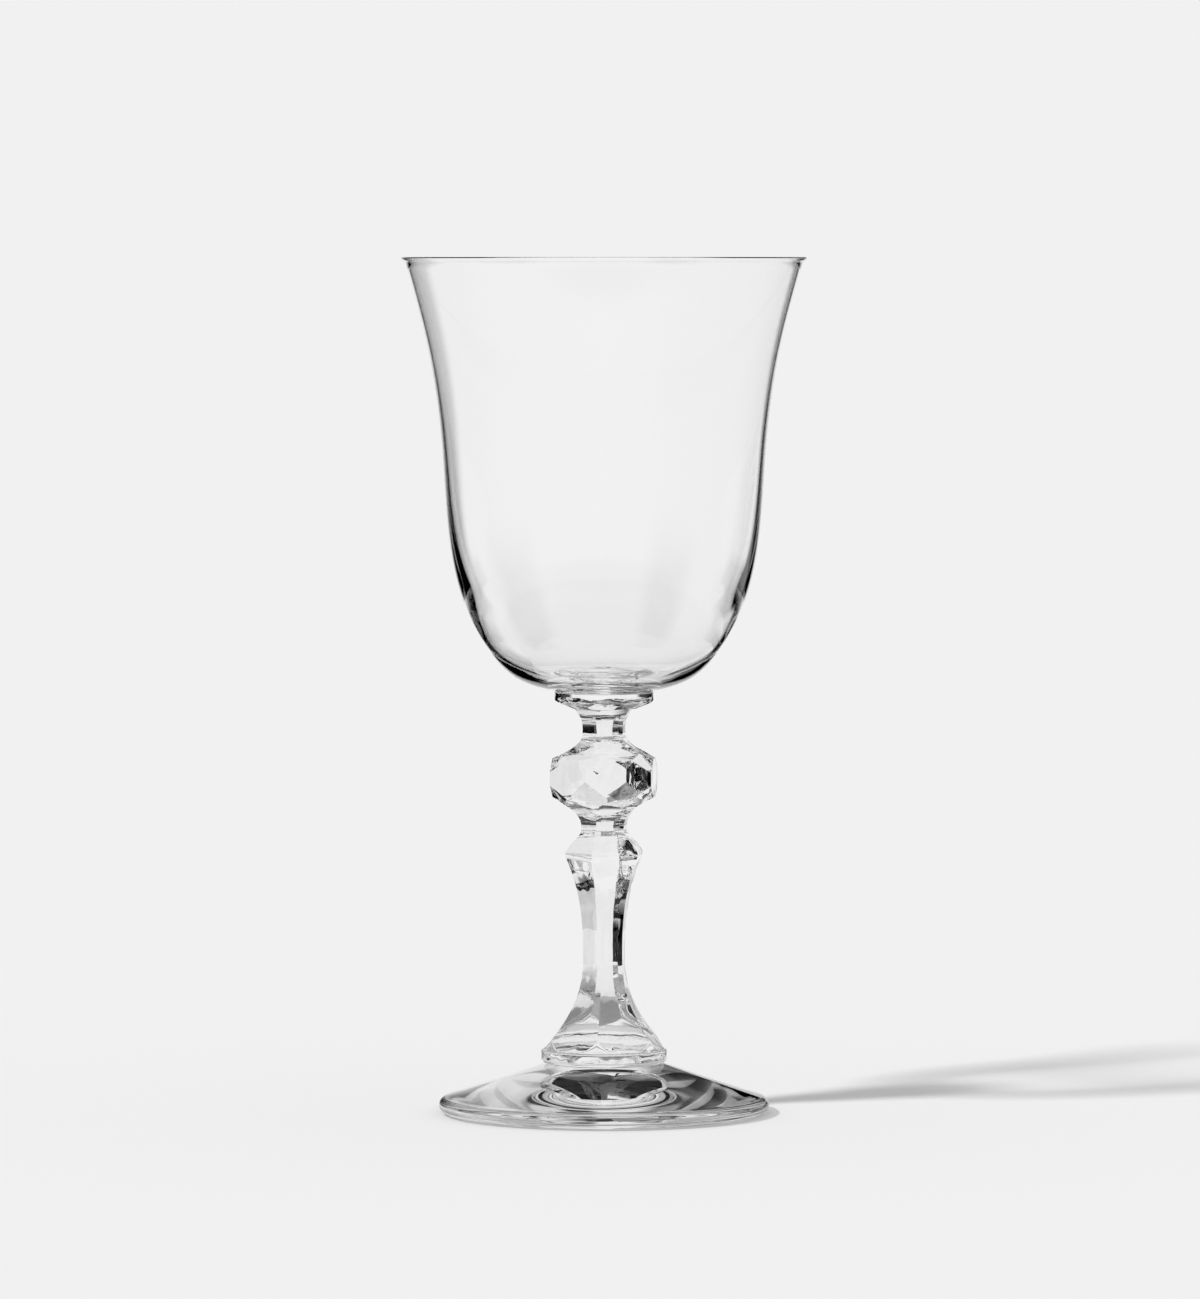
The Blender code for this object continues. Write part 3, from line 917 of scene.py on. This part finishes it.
class WINEGLASS_OT_stage(bpy.types.Operator):
    """Set the pale floor, the soft light and the camera"""

    bl_idname = "wineglass.stage"
    bl_label = "Stage"

    def execute(self, context):
        look = context.scene.wine_glass.stage
        self.floor(context, look)
        self.black_cards(context)
        self.world(context, look)
        self.key_light(context, look)
        self.camera(context, look)
        context.scene.view_settings.view_transform = "Standard"

        # Light is mirrored several times inside thick glass before it comes out
        paths = context.scene.cycles
        paths.max_bounces = GLASS_BOUNCES
        paths.glossy_bounces = MIRROR_BOUNCES
        paths.transmission_bounces = GLASS_BOUNCES
        paths.transparent_max_bounces = GLASS_BOUNCES
        return {"FINISHED"}

    def floor(self, context, look):
        """A wide matt floor, under a thin film of air that keeps the foot's underside mirroring."""
        bm = bmesh.new()
        bmesh.ops.create_circle(bm, cap_ends=True, segments=96, radius=FLOOR_RADIUS)
        bmesh.ops.translate(bm, verts=bm.verts, vec=(0.0, 0.0, -AIR_FILM))
        mesh = bpy.data.meshes.new("floor")
        bm.to_mesh(mesh)
        bm.free()

        # Matt paint, rolled on: even and without gloss, so that only the shadow shows on it
        material, tree = new_material("matt_pale_paint")
        paint = add_node(tree, "ShaderNodeBsdfDiffuse", {"Color": (*look.pale, 1.0)}, {})
        add_node(tree, "ShaderNodeOutputMaterial", {}, {"Surface": paint.outputs["BSDF"]})
        mesh.materials.append(material)
        floor = bpy.data.objects.new("floor", mesh)
        context.scene.collection.objects.link(floor)

    def black_cards(self, context):
        """Black cards with soft edges round the glass, which only the glass sees: they darken its sides."""
        azimuth = context.scene.wine_glass.stage.camera_azimuth
        for (start, full, last, end), section, surfaces in BLACK_CARDS:
            # Matt black card that fades out at its edges, so that the dark bands on the glass are soft
            material, tree = new_material("soft_edged_black_card")
            place = add_node(tree, "ShaderNodeTexCoord", {}, {})
            parts = add_node(tree, "ShaderNodeSeparateXYZ", {}, {"Vector": place.outputs["Object"]})
            stops = ((-180, 0.0), (start, 0.0), (full, 1.0), (last, 1.0), (end, 0.0), (180, 0.0))
            fade = heading_ramp(tree, parts, azimuth, stops)
            bottom, top = section[0][1], section[-1][1]
            fades_from = top - CARD_SOFT_TOP * (top - bottom)
            upward = add_node(
                tree,
                "ShaderNodeMapRange",
                {"From Min": fades_from, "From Max": top, "To Min": 1.0, "To Max": 0.0},
                {"Value": parts.outputs["Z"]},
            )
            edges_soft = add_node(
                tree,
                "ShaderNodeMath",
                {"operation": "MULTIPLY"},
                {0: fade.outputs["Color"], 1: upward.outputs["Result"]},
            )
            mirrored = mirrored_rays(tree, surfaces)
            black = add_node(
                tree,
                "ShaderNodeMath",
                {"operation": "MULTIPLY"},
                {0: edges_soft.outputs["Value"], 1: mirrored.outputs["Value"]},
            )
            clear = add_node(tree, "ShaderNodeBsdfTransparent", {"Color": NO_TINT}, {})
            matt = add_node(tree, "ShaderNodeBsdfDiffuse", {"Color": (*to_linear(CARD_BLACK), 1.0)}, {})
            soft = add_node(
                tree,
                "ShaderNodeMixShader",
                {},
                {0: black.outputs["Value"], 1: clear.outputs["BSDF"], 2: matt.outputs["BSDF"]},
            )
            add_node(tree, "ShaderNodeOutputMaterial", {}, {"Surface": soft.outputs["Shader"]})
            bm = bmesh.new()
            angle = math.radians(90 - start) + azimuth
            verts = []
            for distance, height in section:
                verts.append(bm.verts.new((distance * math.cos(angle), distance * math.sin(angle), height)))
            edges = [bm.edges.new(pair) for pair in zip(verts, verts[1:])]
            bmesh.ops.spin(
                bm,
                geom=verts + edges,
                cent=(0, 0, 0),
                axis=(0, 0, 1),
                angle=math.radians(start - end),
                steps=CARD_STEPS,
            )
            mesh = bpy.data.meshes.new("black_card")
            bm.to_mesh(mesh)
            bm.free()
            mesh.materials.append(material)
            card = bpy.data.objects.new("black_card", mesh)
            context.scene.collection.objects.link(card)
            card.visible_camera = False
            card.visible_diffuse = False
            card.visible_shadow = False

    def world(self, context, look):
        """Pale for the camera and straight through the glass, even for the floor, else the studio's walls."""
        world = bpy.data.worlds.new("studio")
        world.use_nodes = True
        tree = world.node_tree
        tree.nodes.clear()
        place = add_node(tree, "ShaderNodeTexCoord", {}, {})
        parts = add_node(tree, "ShaderNodeSeparateXYZ", {}, {"Vector": place.outputs["Generated"]})
        walls = heading_ramp(tree, parts, look.camera_azimuth, STUDIO_WALLS)
        ceiling = add_node(
            tree,
            "ShaderNodeMapRange",
            {
                "interpolation_type": "SMOOTHSTEP",
                "From Min": math.sin(math.radians(CEILING_START)),
                "From Max": math.sin(math.radians(CEILING_END)),
                "To Min": 1.0,
                "To Max": CEILING_LIGHT,
            },
            {"Value": parts.outputs["Z"]},
        )
        fill = add_node(tree, "ShaderNodeBackground", {"Color": NO_TINT, "Strength": look.fill}, {})
        studio = add_node(
            tree,
            "ShaderNodeBackground",
            {},
            {"Color": walls.outputs["Color"], "Strength": ceiling.outputs["Result"]},
        )
        seen = add_node(tree, "ShaderNodeBackground", {"Color": (*look.pale, 1.0), "Strength": 1.0}, {})
        rays = add_node(tree, "ShaderNodeLightPath", {}, {})
        on_floor = add_node(
            tree,
            "ShaderNodeMath",
            {"operation": "GREATER_THAN", 1: 0.5},
            {0: rays.outputs["Diffuse Depth"]},
        )
        mirrored = mirrored_rays(tree, SEEN_THROUGH)
        through = add_node(
            tree, "ShaderNodeMath", {"operation": "SUBTRACT", 0: 1.0}, {1: mirrored.outputs["Value"]}
        )
        in_sight = add_node(
            tree,
            "ShaderNodeMath",
            {"operation": "MAXIMUM"},
            {0: rays.outputs["Is Camera Ray"], 1: through.outputs["Value"]},
        )
        by_glass = add_node(
            tree,
            "ShaderNodeMixShader",
            {},
            {0: in_sight.outputs["Value"], 1: studio.outputs["Background"], 2: seen.outputs["Background"]},
        )
        by_floor = add_node(
            tree,
            "ShaderNodeMixShader",
            {},
            {0: on_floor.outputs["Value"], 1: by_glass.outputs["Shader"], 2: fill.outputs["Background"]},
        )
        add_node(tree, "ShaderNodeOutputWorld", {}, {"Surface": by_floor.outputs["Shader"]})
        world.cycles.sampling_method = "NONE"
        context.scene.world = world

    def key_light(self, context, look):
        """A soft key light from the left and front, which lays the shadow to the right."""
        lamp = bpy.data.lights.new("key_light", "SUN")
        lamp.energy = look.key
        lamp.angle = math.radians(KEY_ANGLE)
        key = bpy.data.objects.new("key_light", lamp)
        context.scene.collection.objects.link(key)
        key.visible_glossy = False
        key.visible_transmission = False
        key.rotation_euler = Vector(KEY_DIRECTION).to_track_quat("-Z", "Y").to_euler()

    def camera(self, context, look):
        """The photograph's view: level with the rim, a little down and a little to the side."""
        camera = bpy.data.cameras.new("camera")
        camera.sensor_width = SENSOR_MM
        camera.lens = look.focal_mm
        seen_from = bpy.data.objects.new("camera", camera)
        context.scene.collection.objects.link(seen_from)
        eye = Vector(
            (
                look.camera_distance * math.sin(look.camera_azimuth),
                -look.camera_distance * math.cos(look.camera_azimuth),
                LEVEL["rim"],
            )
        )
        right = Vector((math.cos(look.camera_azimuth), math.sin(look.camera_azimuth), 0.0))
        target = Vector((0.0, 0.0, AIM_HEIGHT)) - right * AIM_LEFT
        seen_from.location = eye
        seen_from.rotation_euler = (target - eye).to_track_quat("-Z", "Y").to_euler()
        context.scene.camera = seen_from


class WINEGLASS_PT_panel(bpy.types.Panel):
    """The steps that build the glass, in order"""

    bl_label = "Wine Glass"
    bl_idname = "WINEGLASS_PT_panel"
    bl_space_type = "VIEW_3D"
    bl_region_type = "UI"
    bl_category = "Wine Glass"

    def draw(self, context):
        for operator in OPERATORS:
            self.layout.operator(operator.bl_idname)


OPERATORS = (
    WINEGLASS_OT_foot,
    WINEGLASS_OT_wafer,
    WINEGLASS_OT_stem,
    WINEGLASS_OT_collar,
    WINEGLASS_OT_bowl,
    WINEGLASS_OT_stage,
)
SETTINGS = (BowlSizes, CollarSizes, StemSizes, FootSizes, GlassLook, StageLook, WineGlass)
CLASSES = (*SETTINGS, *OPERATORS, WINEGLASS_PT_panel)


def register():
    """Register the classes and the settings on the scene."""
    for kind in CLASSES:
        bpy.utils.register_class(kind)
    bpy.types.Scene.wine_glass = PointerProperty(type=WineGlass)


def unregister():
    """Take the settings and the classes away again."""
    del bpy.types.Scene.wine_glass
    for kind in reversed(CLASSES):
        bpy.utils.unregister_class(kind)


def main():
    """Build the glass and its stage."""
    register()
    bpy.ops.wineglass.foot()
    bpy.ops.wineglass.wafer()
    bpy.ops.wineglass.stem()
    bpy.ops.wineglass.collar()
    bpy.ops.wineglass.bowl()
    bpy.ops.wineglass.stage()


if __name__ == "__main__":
    main()
